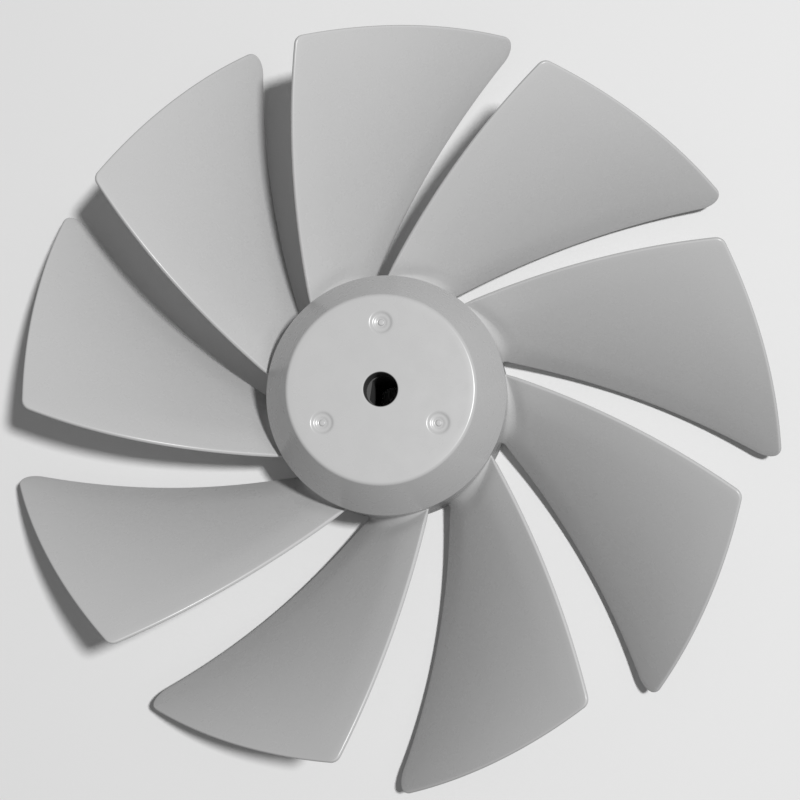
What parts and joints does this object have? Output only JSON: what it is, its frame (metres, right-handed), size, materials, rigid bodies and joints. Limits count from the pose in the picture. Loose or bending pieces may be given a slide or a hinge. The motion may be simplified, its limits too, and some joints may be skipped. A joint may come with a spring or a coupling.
{
  "type": "axial fan impeller",
  "caption": "One-piece moulded axial fan impeller with twisted, swept blades on a cup hub and a flatted shaft bore.",
  "frame": {"origin": "centre of the bore's mouth in the hub's flat front face", "axes": "+Z along the shaft bore, out of the hub's front face; one gate mark lies on +Y"},
  "size_m": [0.1941, 0.1942, 0.043],
  "materials": {
    "grey_plastic": "satin moulded"
  },
  "bodies": {
    "root": {"impeller": "grey_plastic"}
  },
  "joints": []
}
